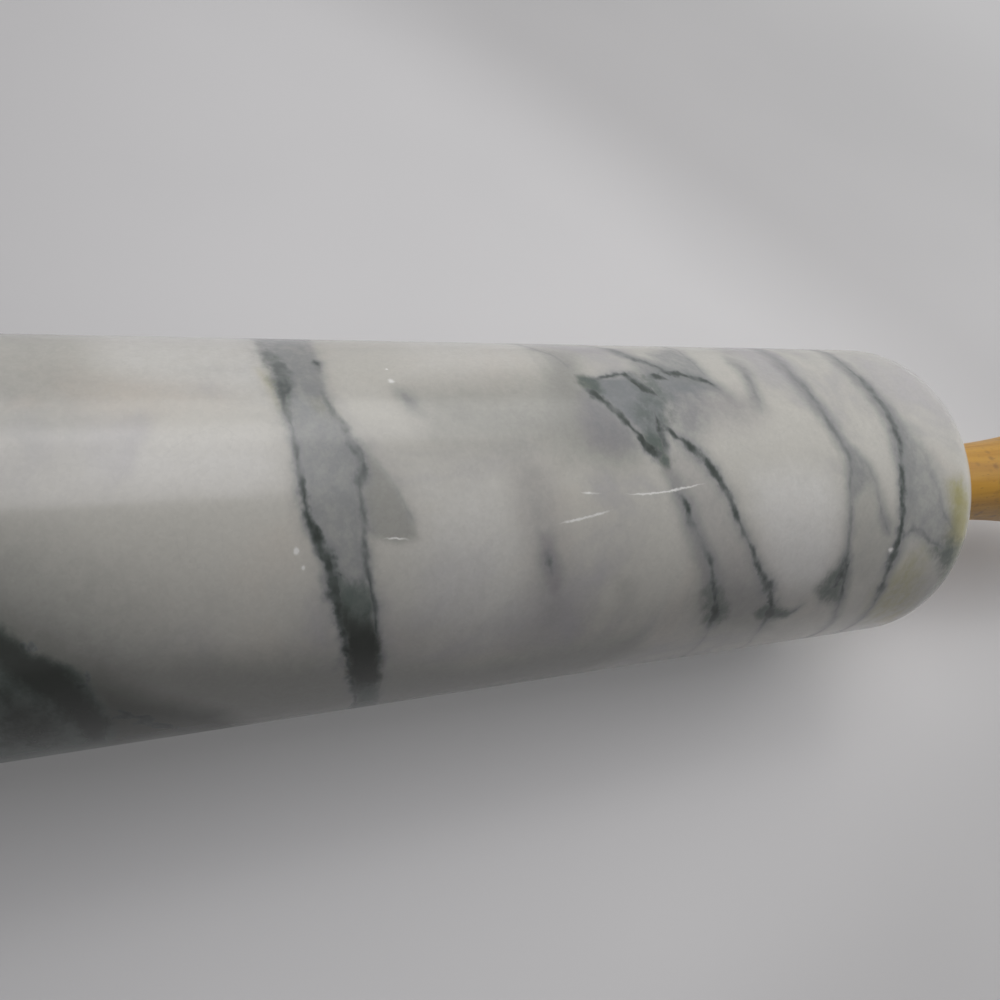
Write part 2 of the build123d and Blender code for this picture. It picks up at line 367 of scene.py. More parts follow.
veins = {
    "bandLeft": {"closed": True, "seen": [
        (252, 338.6, 1.4, 0.4), (261, 347, 1.8, 0.46), (272, 360, 2.2, 0.54), (281, 372, 2.4, 0.64),
        (284, 384, 2.2, 0.7), (282, 395, 1.5, 0.7), (286, 406, 1.3, 0.7), (290, 421.5, 1.1, 0.74),
        (294.5, 442.2, 1.0, 0.6), (297.5, 462, 1.0, 0.68), (301.3, 482, 1.1, 0.84),
        (304.5, 500, 1.25, 0.96), (310, 520, 1.3, 0.98), (317, 540, 1.4, 0.96), (327, 560, 1.8, 0.92),
        (333, 580, 2.0, 0.92), (338, 600, 2.0, 0.94), (342, 616, 2.0, 0.96), (346, 632, 2.0, 1.0),
        (349, 648, 2.0, 1.0), (351, 668.7, 1.8, 1.0), (354, 687.8, 1.4, 0.86), (356, 703.7, 1.2, 0.75),
    ], "after": [
        (9.5, -112, 1.4, 0.75), (8.5, -140, 1.0, 0.7), (5, -170, 0.9, 0.7), (1, -200, 0.8, 0.65),
        (-3, -230, 1.1, 0.6), (-6, -260, 1.5, 0.55), (-6.5, -290, 2.0, 0.45),
    ]},
    "bandRight": {"closed": True, "seen": [
        (308, 338.6, 1.0, 0.2), (312, 352, 1.3, 0.3), (317, 365, 1.4, 0.42), (319, 378, 1.4, 0.42),
        (322, 392, 1.5, 0.5), (329, 404, 1.6, 0.6), (338, 420, 1.5, 0.6), (349, 438, 1.5, 0.6),
        (359, 452, 1.9, 0.68), (361, 468, 1.7, 0.72), (360, 486, 1.2, 0.62), (361, 503, 1.0, 0.58),
        (363, 528, 1.0, 0.6), (366, 550, 1.0, 0.66), (369, 575, 1.0, 0.74), (373, 600, 1.0, 0.8),
        (375, 621, 1.0, 0.84), (377, 637, 1.0, 0.88), (378, 669, 1.0, 0.88), (377, 688, 0.9, 0.66),
        (376.3, 700.5, 0.9, 0.6),
    ], "after": [
        (12.8, -110, 0.9, 0.65), (15, -140, 0.8, 0.6), (16, -170, 0.7, 0.6), (14, -200, 0.7, 0.55),
        (10, -230, 0.8, 0.5), (8, -260, 1.0, 0.45), (8, -290, 1.1, 0.35),
    ]},
    "bandSpot": {"seen": [(310, 357, 0.5, 0.5), (316.5, 362.5, 0.9, 0.9), (321, 368, 0.4, 0.4)]},
    "wedgeEdge": {"seen": [
        (366, 450, 0.7, 0.3), (379.5, 464.6, 0.6, 0.3), (398.6, 493, 0.7, 0.32), (411.4, 519, 0.8, 0.34),
        (417.7, 538, 0.5, 0.2),
    ]},
    "leftDiagonal": {"before": [
        (-104, 175, 1.4, 0.6), (-92, 140, 1.8, 0.7), (-84, 105, 2.2, 0.8), (-75, 70, 2.6, 0.85),
        (-66, 35, 3.0, 0.85), (-57, 5, 3.4, 0.9), (-48, -22, 3.6, 0.95), (-42, -38, 3.8, 1.0),
    ], "seen": [
        (4, 648, 3.6, 1.0), (28, 668, 3.6, 1.0), (54, 678, 3.2, 1.0), (76, 690, 3.4, 1.0),
        (94, 711, 3.2, 1.0),
    ], "after": [
        (-17, -88, 3.0, 0.9), (-13, -110, 2.6, 0.85), (-8, -132, 2.0, 0.8), (-1, -150, 1.6, 0.75),
        (5, -166, 1.0, 0.7),
    ]},
    "knotIn": {"before": [
        (15, 150, 0.6, 0.4), (20, 118, 0.8, 0.45), (28, 88, 0.8, 0.45), (36, 60, 0.9, 0.4),
    ], "seen": [
        (523, 345.7, 1.0, 0.35), (542, 352, 1.1, 0.42), (554, 356.5, 1.1, 0.4), (567, 365.5, 0.9, 0.35),
        (579, 375, 0.8, 0.45),
    ]},
    "knotTop": {"seen": [
        (579.5, 379, 1.3, 0.9), (590, 380, 1.3, 0.84), (600, 378.5, 1.0, 0.8), (612, 376, 1.0, 0.78),
        (625, 374, 1.3, 0.88), (633, 381, 1.5, 0.86), (642, 388, 1.5, 0.84), (652, 392, 1.6, 0.84),
        (660, 397, 1.5, 0.76), (667, 405, 1.0, 0.5),
    ]},
    "upperSweep": {"before": [
        (52, 170, 0.6, 0.4), (48, 130, 0.8, 0.42), (47, 95, 1.0, 0.42), (50, 65, 1.1, 0.4),
    ], "seen": [
        (588, 346, 1.6, 0.36), (612, 350, 1.8, 0.46), (627, 357, 1.8, 0.6), (643, 362.5, 1.8, 0.76),
        (655, 366, 2.0, 0.86), (666, 372.5, 2.4, 0.9), (677, 373.5, 2.2, 0.9), (689, 376.5, 1.7, 0.84),
        (710, 383, 1.4, 0.76), (720, 390, 1.2, 0.5), (730, 400, 1.0, 0.2),
    ]},
    "upperLoop": {"seen": [
        (645, 380, 1.2, 0.6), (654, 376, 2.0, 0.86), (664, 379, 1.8, 0.8), (674, 383, 1.0, 0.4),
    ]},
    "upperSoft": {"before": [
        (50, 100, 1.0, 0.2), (60, 80, 1.0, 0.25), (66, 60, 1.1, 0.3),
    ], "seen": [
        (667, 347.4, 1.2, 0.36), (685.6, 357, 1.1, 0.4), (700, 370, 1.0, 0.42), (713, 384, 0.8, 0.35),
    ]},
    "diagonal": {"seen": [
        (579, 381, 2.0, 0.9), (588, 388, 2.4, 0.95), (597, 396, 2.0, 0.92), (612, 408, 1.4, 0.88),
        (626, 422, 1.4, 0.88), (637, 433, 1.5, 0.88), (647, 444, 2.2, 0.94), (656, 454, 2.4, 0.95),
        (665, 463, 1.8, 0.88), (669, 471, 1.0, 0.6),
    ]},
    "innerLine": {"seen": [
        (652, 403, 0.8, 0.6), (655, 412, 1.1, 0.9), (657, 420, 1.2, 0.9), (660, 430, 1.2, 0.86),
        (664, 441, 1.3, 0.88), (667, 451, 1.4, 0.9), (668, 461, 1.2, 0.8),
    ]},
    "longSweep": {"seen": [
        (654, 416, 1.0, 0.8), (662, 425, 1.1, 0.84), (672, 432, 1.2, 0.84), (683, 441, 1.4, 0.86),
        (695, 450, 1.5, 0.88), (710, 467, 1.5, 0.88), (719.5, 479, 1.2, 0.82), (728, 494.5, 1.5, 0.86),
        (736, 513, 1.3, 0.84), (744, 531, 0.9, 0.7), (753, 550, 1.0, 0.72), (761, 571, 1.3, 0.84),
        (768, 586.5, 1.4, 0.86), (771.7, 602, 1.6, 0.88), (770, 613, 1.6, 0.88),
    ], "after": [
        (80, -84, 0.7, 0.4), (84, -110, 0.6, 0.35), (90, -135, 0.5, 0.3),
    ]},
    "sweepFoot": {"seen": [
        (776, 614, 1.4, 0.7), (790, 612, 1.3, 0.6), (801, 606, 1.2, 0.5), (812, 599, 0.8, 0.3),
    ]},
    "shortSweep": {"seen": [
        (668, 467, 1.1, 0.56), (674, 488, 1.2, 0.36), (683, 498, 1.3, 0.6), (688, 509, 1.7, 0.84),
        (692, 520, 1.5, 0.7), (696, 532, 1.9, 0.4), (703, 550, 1.7, 0.42), (710, 558, 1.1, 0.7),
        (712.5, 576, 1.0, 0.86), (714.5, 593, 1.3, 0.9), (716, 608, 1.8, 0.94),
    ], "after": [
        (68, -82, 0.6, 0.4), (70, -105, 0.5, 0.3), (76, -130, 0.4, 0.25),
    ]},
    "softArc": {"before": [
        (90, 55, 0.8, 0.1),
    ], "seen": [
        (725.6, 357, 1.6, 0.2), (741, 368, 1.7, 0.3), (750, 381, 1.6, 0.42), (756, 394, 1.5, 0.4),
        (761, 407, 1.3, 0.26), (766, 424, 0.9, 0.1),
    ]},
    "innerRing": {"closed": True, "seen": [
        (752, 349, 1.0, 0.16), (771, 356, 1.2, 0.26), (788.5, 371, 1.3, 0.36), (806, 390, 1.4, 0.46),
        (821.5, 409.5, 1.4, 0.52), (835.3, 432, 1.3, 0.52), (847.4, 453, 1.2, 0.5), (851, 473.6, 1.2, 0.46),
        (850.2, 501, 1.2, 0.46), (850.2, 529, 1.2, 0.5), (848, 553, 1.2, 0.66), (844, 578, 1.3, 0.8),
        (840.5, 598, 1.1, 0.7), (837, 608, 0.9, 0.5), (832, 622, 0.8, 0.4),
    ], "after": [
        (98.5, -110, 0.8, 0.45), (99, -150, 1.0, 0.5), (97, -190, 0.9, 0.4), (94, -230, 1.0, 0.42),
        (91, -270, 1.0, 0.26), (90, -300, 1.0, 0.14),
    ]},
    "ringBranch": {"seen": [
        (857, 452, 0.9, 0.3), (868, 465, 1.0, 0.34), (877, 490, 1.0, 0.32), (882, 511, 1.0, 0.42),
        (887, 529, 1.0, 0.5), (893, 541, 1.1, 0.6),
    ]},
    "outerRing": {"closed": True, "seen": [
        (823, 352, 1.0, 0.42), (840.5, 362.7, 1.3, 0.54), (858, 376.6, 1.4, 0.58), (873.4, 394, 1.5, 0.6),
        (885.6, 409.5, 1.6, 0.64), (894.2, 428.6, 1.6, 0.7), (899.4, 449.4, 1.6, 0.74),
        (902.2, 473.6, 1.5, 0.78), (902.9, 498, 1.5, 0.8), (902.2, 522, 1.5, 0.84), (897.7, 543, 1.6, 0.9),
        (889, 567, 1.6, 0.84), (880.4, 590, 1.4, 0.78), (868, 612, 1.0, 0.5),
    ], "after": [
        (106.5, -120, 0.8, 0.5), (108.5, -160, 0.8, 0.55), (109, -200, 0.9, 0.5), (108, -240, 1.2, 0.5),
        (106, -280, 1.0, 0.36), (105, -305, 0.8, 0.3),
    ]},
    "shoulderBranch": {"seen": [
        (898, 543, 1.2, 0.7), (905, 535, 1.2, 0.6), (913, 528, 1.2, 0.56), (921, 532, 1.2, 0.5),
        (929, 540, 1.3, 0.52), (940, 546, 1.3, 0.5), (948, 551, 1.3, 0.55), (954, 550, 1.0, 0.5),
    ], "after": [
        (121, -58, 0.7, 0.5), (127, -66, 0.8, 0.45), (134, -80, 0.6, 0.3),
    ]},
    "footLeftBlot": {"seen": [
        (709, 604, 1.4, 0.5), (716, 611, 2.2, 0.75), (712, 619, 2.0, 0.65), (706, 623, 1.0, 0.3),
    ]},
    "footRightBlot": {"seen": [
        (756, 615, 0.8, 0.4), (765, 612, 1.6, 0.85), (774, 613, 1.8, 0.85), (784, 615, 1.0, 0.6),
        (797, 611, 0.6, 0.3),
    ]},
    "stainFleck": {"seen": [
        (846, 552, 1.0, 0.4), (842, 567, 1.9, 0.75), (838, 580, 2.4, 0.85), (830, 590, 2.2, 0.8),
        (822, 596, 1.2, 0.5),
    ]},
    "shortFleck": {"seen": [(683, 498, 0.7, 0.4), (689, 508, 1.3, 0.7), (691, 518, 0.9, 0.5)]},
    "fleckTop": {"seen": [
        (391, 386, 0.8, 0.3), (399, 392, 1.2, 0.52), (407, 399, 1.5, 0.42), (416, 410, 1.6, 0.28),
        (428, 424, 1.0, 0.14),
    ]},
    "fleckRing": {"seen": [
        (550, 543, 0.8, 0.6), (546.5, 552, 1.2, 0.74), (547.5, 563, 1.1, 0.72), (552, 572, 1.0, 0.7),
        (554, 580, 0.8, 0.5),
    ]},
    "fillEdge": {"seen": [
        (920, 452, 0.8, 0.14), (930, 470, 0.9, 0.24), (938, 490, 0.9, 0.34), (943, 510, 0.9, 0.44),
        (951, 526, 1.0, 0.5), (956, 535, 0.9, 0.45),
    ]},
    "leftRing": {"closed": True, "after": [
        (-104, 60, 0.7, 0.4), (-101, 20, 0.7, 0.5), (-98, -20, 0.6, 0.55), (-97, -60, 0.6, 0.5),
        (-100, -100, 0.7, 0.5), (-104, -140, 0.6, 0.45), (-106, -180, 0.6, 0.4), (-105, -220, 0.6, 0.45),
        (-104, -260, 0.7, 0.45),
    ]},
    "leftSlant": {"after": [
        (-126, -64, 0.5, 0.4), (-112, -50, 0.6, 0.55), (-96, -28, 0.7, 0.65), (-86, -8, 0.6, 0.6),
        (-80, 14, 0.6, 0.55), (-78, 40, 0.5, 0.4),
    ]},
    "leftTwig": {"after": [
        (-90, -16, 0.4, 0.5), (-92, 12, 0.5, 0.45), (-96, 40, 0.5, 0.4), (-95, 62, 0.4, 0.3),
    ]},
    "farSlant": {"after": [
        (-40, 196, 0.5, 0.4), (-32, 168, 0.7, 0.6), (-22, 146, 0.8, 0.7), (-16, 120, 0.6, 0.6),
        (-12, 96, 0.5, 0.5), (-8, 74, 0.4, 0.3),
    ]},
    "farTwig": {"after": [(-27, 156, 0.4, 0.5), (-34, 130, 0.5, 0.5), (-44, 108, 0.4, 0.35)]},
    "farSweep": {"after": [
        (84, 176, 0.4, 0.35), (74, 152, 0.5, 0.5), (67, 128, 0.6, 0.55), (62, 104, 0.5, 0.45),
        (58, 84, 0.4, 0.3),
    ]},
    "underTwig": {"after": [
        (-60, -92, 0.4, 0.3), (-66, -112, 0.6, 0.5), (-70, -138, 0.6, 0.5), (-78, -160, 0.4, 0.35),
    ]},
}

# Filled patches: the tone, how strong it is, how soft its edge is in mm, and its corners in pixels
patches = {
    # The wide band, and the wedge beside it
    "bandTop": ("cool", 0.12, 2.0, [
        (262, 335), (318, 335), (324, 362), (324, 396), (300, 402), (292, 380), (280, 360),
    ]),
    "bandSide": ("green", 0.58, 0.8, [
        (262, 350), (272, 352), (284, 364), (292, 376), (294, 388), (289, 400), (293, 416), (288, 424),
        (281, 410), (273, 392), (268, 376), (261, 360),
    ]),
    "bandLower": ("green", 0.72, 1.0, [
        (318, 542), (326, 548), (336, 560), (346, 580), (350, 604), (352, 640), (343, 634), (336, 612),
        (329, 588), (322, 562),
    ]),
    "bandFoot": ("black", 0.6, 0.9, [
        (338, 596), (350, 612), (360, 624), (374, 622), (378, 640), (381, 652), (380, 680), (352, 684),
        (347, 668), (345, 650), (340, 620),
    ]),
    "bandFootBlack": ("black", 0.6, 0.8, [
        (345, 650), (352, 646), (364, 652), (378, 650), (380, 678), (352, 681),
    ]),
    "bandOchre": ("ochre", 0.4, 0.8, [
        (257, 368), (264, 372), (282, 396), (290, 412), (283, 412), (268, 392),
    ]),
    "bandOchreRight": ("ochre", 0.42, 0.7, [
        (309, 398), (326, 396), (334, 410), (338, 420), (322, 416), (312, 408),
    ]),
    "wedge": ("grey", 0.85, 0.7, [
        (363.5, 448.6), (379.5, 464.6), (398.6, 493), (411.4, 519), (417.7, 538), (400, 544), (371, 536),
        (362, 500),
    ]),
    # The knot where the veins meet
    "knotDark": ("green", 0.92, 0.9, [
        (577, 376), (588, 376), (598, 380), (602, 390), (598, 396), (588, 390), (579, 384),
    ]),
    "knotFill": ("cool", 0.9, 0.9, [
        (584, 378), (612, 378), (628, 376), (642, 386), (657, 396), (664, 406), (664, 440), (655, 450),
        (641, 433), (626, 419), (610, 404), (596, 392),
    ]),
    "knotShade": ("green", 0.42, 1.6, [
        (630, 372), (646, 374), (660, 384), (670, 398), (674, 420), (666, 438), (655, 446), (640, 430),
        (632, 410), (642, 396), (634, 384),
    ]),
    "knotRight": ("cool", 0.74, 1.8, [
        (634, 364), (652, 368), (676, 374), (704, 382), (716, 392), (698, 394), (680, 394), (670, 402),
        (662, 408), (653, 394), (642, 382),
    ]),
    "knotSide": ("grey", 0.8, 3.0, [
        (550, 352), (572, 354), (582, 372), (578, 380), (592, 394), (606, 408), (622, 424), (640, 440),
        (640, 466), (616, 470), (590, 452), (566, 430), (550, 390),
    ]),
    "knotBeside": ("cool", 0.4, 2.4, [
        (662, 378), (690, 380), (704, 392), (706, 430), (698, 454), (684, 452), (672, 440), (662, 420),
    ]),
    "knotLeft": ("grey", 0.5, 3.4, [
        (552, 372), (572, 376), (584, 392), (600, 412), (618, 436), (630, 452), (600, 464), (566, 466),
        (550, 430),
    ]),
    # The sweeps that run down from it
    "diagonalDark": ("green", 0.9, 0.7, [
        (640, 433), (652, 435), (662, 436), (666, 448), (671, 459), (670, 468), (663, 466), (654, 458),
        (646, 450),
    ]),
    "diagonalFoot": ("grey", 0.7, 0.9, [(660, 462), (671, 462), (674, 474), (668, 480), (660, 474)]),
    "sweepFill": ("cool", 0.62, 1.9, [
        (650, 354), (668, 349), (688, 357), (704, 370), (716, 388), (700, 381), (675, 373), (655, 366),
    ]),
    "sweepCloud": ("lavender", 0.64, 4.0, [
        (664, 386), (700, 386), (722, 391), (750, 396), (764, 410), (748, 424), (716, 424), (696, 434),
        (680, 424), (666, 404),
    ]),
    "sweepBetween": ("lavender", 0.4, 2.0, [
        (668, 445), (690, 450), (708, 466), (724, 492), (735, 518), (748, 546), (764, 582), (770, 606),
        (735, 618), (704, 612), (702, 560), (692, 525), (680, 495), (668, 470),
    ]),
    "sweepSide": ("lavender", 0.45, 2.2, [
        (672, 476), (688, 500), (700, 528), (712, 552), (716, 582), (700, 582), (688, 548), (676, 512),
    ]),
    "sweepBottom": ("grey", 0.75, 3.0, [
        (700, 562), (728, 576), (758, 588), (778, 606), (772, 628), (706, 632), (690, 604),
    ]),
    "footLeft": ("green", 0.8, 1.5, [
        (703, 592), (711, 584), (720, 590), (727, 604), (726, 618), (716, 626), (704, 622),
    ]),
    "footRight": ("green", 0.95, 0.9, [
        (754, 612), (764, 604), (774, 601), (780, 608), (794, 611), (788, 617), (774, 620), (758, 619),
    ]),
    # The rings and the right shoulder
    "ringWedge": ("cool", 0.6, 1.4, [
        (846, 448), (858, 450), (868, 464), (868, 480), (860, 494), (852, 500),
    ]),
    "ringWedgeLong": ("grey", 0.5, 2.4, [
        (850, 456), (864, 460), (876, 484), (886, 506), (900, 520), (897, 544), (884, 566), (866, 580),
        (850, 580), (850, 540),
    ]),
    "ringStain": ("green", 0.85, 1.7, [
        (848, 552), (848, 576), (843, 600), (832, 603), (819, 599), (817, 588), (830, 572),
    ]),
    "outerFill": ("cool", 0.54, 2.8, [
        (894, 415), (912, 430), (930, 452), (942, 480), (948, 511.5), (956, 534), (946, 550), (928, 542),
        (912, 530), (903, 498), (900, 460),
    ]),
    # Dark stone by the shoulder's branch, and painted shade along the lower edge where the rounded end
    # turns away
    "shoulderStain": ("green", 0.8, 1.9, [
        (930, 548), (948, 540), (964, 540), (970, 566), (962, 590), (948, 606), (928, 612), (930, 596),
        (942, 576), (938, 560),
    ]),
    "shoulderOlive": ("ochre", 0.88, 2.2, [
        (948, 484), (960, 478), (968, 496), (968, 530), (963, 550), (953, 552), (946, 536), (952, 512),
    ]),
    "shoulderYellow": ("ochre", 0.42, 3.4, [
        (876, 590), (905, 560), (925, 548), (950, 575), (925, 612), (880, 624), (862, 618),
    ]),
    # Clouds
    "cloudLong": ("lavender", 0.45, 3.2, [
        (513, 462), (532, 452), (552, 480), (564, 520), (572, 570), (566, 610), (548, 622), (536, 590),
        (526, 540), (515, 505),
    ]),
    "cloudKnot": ("lavender", 0.85, 2.2, [
        (582, 398), (600, 400), (616, 410), (632, 430), (632, 446), (610, 452), (590, 444), (580, 420),
    ]),
    "cloudKnotDark": ("cool", 0.36, 2.6, [
        (584, 394), (600, 398), (618, 410), (636, 430), (648, 446), (624, 454), (600, 446), (586, 424),
    ]),
    "cloudGrey": ("grey", 0.62, 6.0, [
        (410, 390), (470, 378), (540, 376), (585, 384), (590, 440), (556, 452), (500, 442), (430, 434),
    ]),
    "cloudGreyLow": ("grey", 0.5, 4.0, [
        (440, 404), (500, 402), (560, 404), (588, 416), (570, 434), (500, 438), (440, 434),
    ]),
    "cloudSpot": ("grey", 0.38, 1.6, [(618, 578), (632, 580), (633, 598), (621, 601), (615, 590)]),
    "fleckCloud": ("grey", 0.4, 1.6, [
        (394, 388), (408, 388), (420, 402), (424, 416), (410, 412), (398, 400),
    ]),
    "ringHalo": ("lavender", 0.75, 1.3, [
        (541, 534), (553, 536), (559, 556), (562, 582), (555, 594), (546, 584), (540, 560),
    ]),
    "leftPink": ("warm", 0.3, 4.5, [
        (60, 382), (115, 378), (170, 384), (215, 392), (235, 402), (180, 412), (110, 416), (60, 404),
    ]),
    "leftPinkEdge": ("warm", 0.4, 1.4, [(10, 401), (34, 396), (38, 404), (26, 408), (8, 408)]),
    "leftGrey": ("grey", 0.3, 4.5, [
        (-60, 330), (64, 332), (80, 366), (82, 404), (90, 444), (50, 452), (-60, 452),
    ]),
    # Painted shade: darker towards the lower left
    "leftPaintedShade": ("shadow", 0.12, 8.0, [
        (-60, 530), (80, 530), (170, 540), (200, 590), (160, 640), (90, 632), (30, 602), (-60, 580),
    ]),
    # The dark corner at the lower left, and painted shade on the underside and along the bottom edge
    "cornerDark": ("green", 0.95, 0.8, [
        (0, 625), (11, 635), (20, 648), (36, 655), (56, 662), (75, 667), (87, 680), (95, 694), (108, 711),
        (116, 735), (100, 762), (60, 790), (20, 808), (-20, 796), (-60, 764), (-90, 720), (-70, 640),
        (-30, 605),
    ]),
    "cornerBlack": ("black", 0.98, 1.0, [
        (-8, 622), (12, 638), (30, 654), (50, 660), (68, 670), (80, 682), (92, 698), (112, 722), (96, 744),
        (66, 716), (44, 698), (22, 688), (0, 668), (-20, 648),
    ]),
    "cornerFill": ("black", 0.78, 2.5, [(-10, 684), (20, 696), (44, 704), (66, 718), (56, 744), (0, 744)]),
    # Grey round the corner's vein, spread wide as painted shade towards the lower left
    "cornerGreyAndPaintedShade": ("grey", 0.95, 9.0, [
        (-80, 490), (10, 540), (80, 590), (130, 635), (180, 680), (250, 716), (200, 770), (60, 830),
        (-60, 820), (-140, 700),
    ]),
    # A dark halo beside the corner's vein, partly painted shade
    "cornerHaloAndPaintedShade": ("shadow", 0.58, 4.0, [
        (-20, 596), (20, 620), (60, 640), (104, 662), (136, 688), (156, 720), (110, 730), (70, 690),
        (20, 660), (-20, 640),
    ]),
    "bottomPaintedShade": ("shadow", 0.92, 3.0, [
        (100, 690), (130, 697), (180, 704), (220, 712), (250, 724), (240, 756), (200, 786), (140, 806),
        (80, 812), (40, 800), (70, 750),
    ]),
    "underPaintedShade": ("grey", 0.95, 4.0, [
        (90, 690), (130, 668), (220, 658), (335, 660), (400, 664), (470, 664), (560, 648), (640, 634),
        (640, 650), (540, 690), (390, 730), (300, 750), (200, 770), (120, 750),
    ]),
    "underRightPaintedShade": ("shadow", 0.35, 3.0, [
        (390, 700), (440, 697), (500, 690), (560, 676), (600, 668), (600, 690), (520, 722), (400, 740),
    ]),
    # Painted light: paler stone where the barrel shows brighter, on its top and on its near side
    "paleTopPaintedLight": ("pale", 0.46, 4.0, [
        (96, 334), (266, 334), (276, 368), (284, 392), (240, 398), (190, 396), (140, 384), (104, 366),
    ]),
    "paleTopMiddlePaintedLight": ("pale", 0.26, 4.0, [(404, 336), (524, 338), (520, 366), (480, 382), (404, 376)]),
    # Painted highlight on the band where the overhead panel's reflection lies
    "paleLeftPaintedHighlight": ("pale", 0.3, 3.0, [
        (84, 452), (150, 448), (250, 446), (276, 460), (272, 478), (150, 482), (88, 476),
    ]),
    "paleMiddlePaintedLight": ("pale", 0.42, 6.0, [
        (424, 480), (500, 480), (520, 520), (530, 570), (520, 620), (490, 646), (440, 646), (410, 600),
        (424, 540),
    ]),
    "paleSweepPaintedLight": ("pale", 0.68, 4.0, [
        (756, 478), (790, 470), (826, 476), (838, 500), (838, 540), (826, 578), (796, 592), (774, 580),
        (764, 545), (756, 510),
    ]),
    # Partly the stone's warmer white, partly painted light on the top of the shoulder
    "paleShoulderWithPaintedLight": ("pale", 0.12, 4.5, [
        (850, 346), (882, 346), (924, 368), (950, 400), (966, 444), (952, 460), (930, 440), (906, 410),
        (880, 382),
    ]),
}

# Broad smoky bands along the rings and sweeps, given as the veins are
smokes = {
    "inner": {"closed": True, "seen": [
        (750, 348, 3.0, 0.5), (771, 357, 3.2, 0.56), (788, 372, 3.2, 0.62), (805, 391, 3.2, 0.68),
        (820, 410, 3.0, 0.7), (834, 432, 2.8, 0.66), (848, 454, 2.6, 0.6), (852, 474, 2.2, 0.5),
        (851, 501, 1.9, 0.4), (850, 529, 1.9, 0.42), (847, 553, 2.4, 0.55), (843, 578, 2.8, 0.66),
        (839, 598, 2.4, 0.6), (831, 622, 1.8, 0.45),
    ], "after": [
        (98, -110, 1.6, 0.4), (97, -190, 2.0, 0.42), (92, -270, 2.8, 0.5), (90, -300, 3.0, 0.5),
    ]},
    "outer": {"closed": True, "seen": [
        (821, 352, 2.8, 0.56), (839, 363, 3.4, 0.74), (857, 378, 3.6, 0.8), (873, 395, 3.8, 0.82),
        (886, 411, 4.0, 0.76), (896, 430, 4.2, 0.74), (902, 450, 4.2, 0.7), (906, 474, 4.0, 0.66),
        (907, 498, 3.6, 0.62), (905, 522, 3.2, 0.62), (900, 543, 3.0, 0.62), (890, 567, 2.8, 0.6),
        (880, 590, 2.6, 0.55), (867, 612, 2.0, 0.45),
    ], "after": [
        (106.5, -120, 1.8, 0.4), (109, -200, 2.2, 0.42), (106, -280, 2.8, 0.5), (105, -305, 3.0, 0.55),
    ]},
    "sweep": {"seen": [
        (600, 347, 2.6, 0.4), (627, 356, 3.2, 0.7), (655, 367, 3.6, 0.82), (677, 375, 3.4, 0.82),
        (705, 382, 2.8, 0.62), (724, 393, 2.6, 0.5), (742, 408, 2.6, 0.3),
    ]},
    "arc": {"seen": [
        (722, 354, 2.6, 0.3), (740, 368, 2.8, 0.5), (751, 384, 2.6, 0.56), (757, 400, 2.4, 0.4),
        (764, 420, 2.0, 0.16),
    ]},
    "branch": {"seen": [
        (860, 455, 2.2, 0.4), (870, 470, 2.0, 0.4), (880, 495, 2.0, 0.42), (885, 520, 2.2, 0.5),
        (893, 541, 2.2, 0.55),
    ]},
    "short": {"seen": [
        (668, 460, 2.4, 0.5), (676, 484, 2.6, 0.45), (688, 508, 3.0, 0.5), (696, 534, 3.2, 0.5),
        (705, 556, 2.8, 0.45), (713, 580, 2.8, 0.5), (716, 604, 3.2, 0.6),
    ]},
    "long": {"seen": [
        (668, 430, 1.8, 0.3), (690, 447, 2.4, 0.4), (712, 470, 2.4, 0.42), (729, 498, 2.4, 0.4),
        (745, 534, 2.0, 0.34), (760, 570, 2.6, 0.45), (770, 600, 3.2, 0.6),
    ]},
}

# Small white marks: scratches, given as the veins are, and chips as pixels with their radius in mm
scratches = {
    "short": {"seen": [
        (383, 538.8, 0.2, 0.7), (398, 538.2, 0.24, 0.9), (409, 539.4, 0.4, 1.0), (411, 540, 0.2, 0.8),
    ]},
    "upper": {"seen": [
        (580, 492, 0.2, 0.7), (588, 493, 0.36, 1.0), (594, 493.4, 0.2, 0.5), (603.5, 494, 0.36, 1.0),
    ]},
    "long": {"seen": [
        (622, 494, 0.2, 0.6), (645, 494, 0.26, 0.8), (668, 491.4, 0.28, 0.85), (675, 490, 0.4, 0.95),
        (690, 486.6, 0.24, 0.7), (707, 483, 0.28, 0.9),
    ]},
    "lower": {"seen": [
        (556, 524, 0.3, 0.8), (570, 521.4, 0.42, 0.95), (584, 518, 0.32, 0.75), (600, 513.6, 0.4, 0.9),
        (615, 509, 0.2, 0.7),
    ]},
}
chips = {
    "top": (390.6, 381.2, 0.42),
    "topFaint": (387, 369.5, 0.2),
    "band": (296.6, 551, 0.36),
    "bandFaint": (303, 568, 0.26),
    "shoulder": (890.6, 549.6, 0.42),
}
# The colour of each tone, laid over those before it, and how ragged its edges are
tones = {
    # pale is painted light, and shadow is painted shade
    "pale": {"color": (0.76, 0.755, 0.735), "ragged": 0.4},
    "warm": {"color": (0.62, 0.545, 0.47), "ragged": 0.6},
    "ochre": {"color": (0.40, 0.37, 0.16), "ragged": 1.2},
    "grey": {"color": (0.335, 0.336, 0.312), "ragged": 0.5},
    "lavender": {"color": (0.302, 0.292, 0.298), "ragged": 0.5},
    "cool": {"color": (0.212, 0.229, 0.241), "ragged": 0.8},
    "shadow": {"color": (0.09, 0.096, 0.08), "ragged": 0.2},
    "green": {"color": (0.105, 0.133, 0.118), "ragged": 1.5},
    "black": {"color": (0.021, 0.027, 0.020), "ragged": 1.5},
}
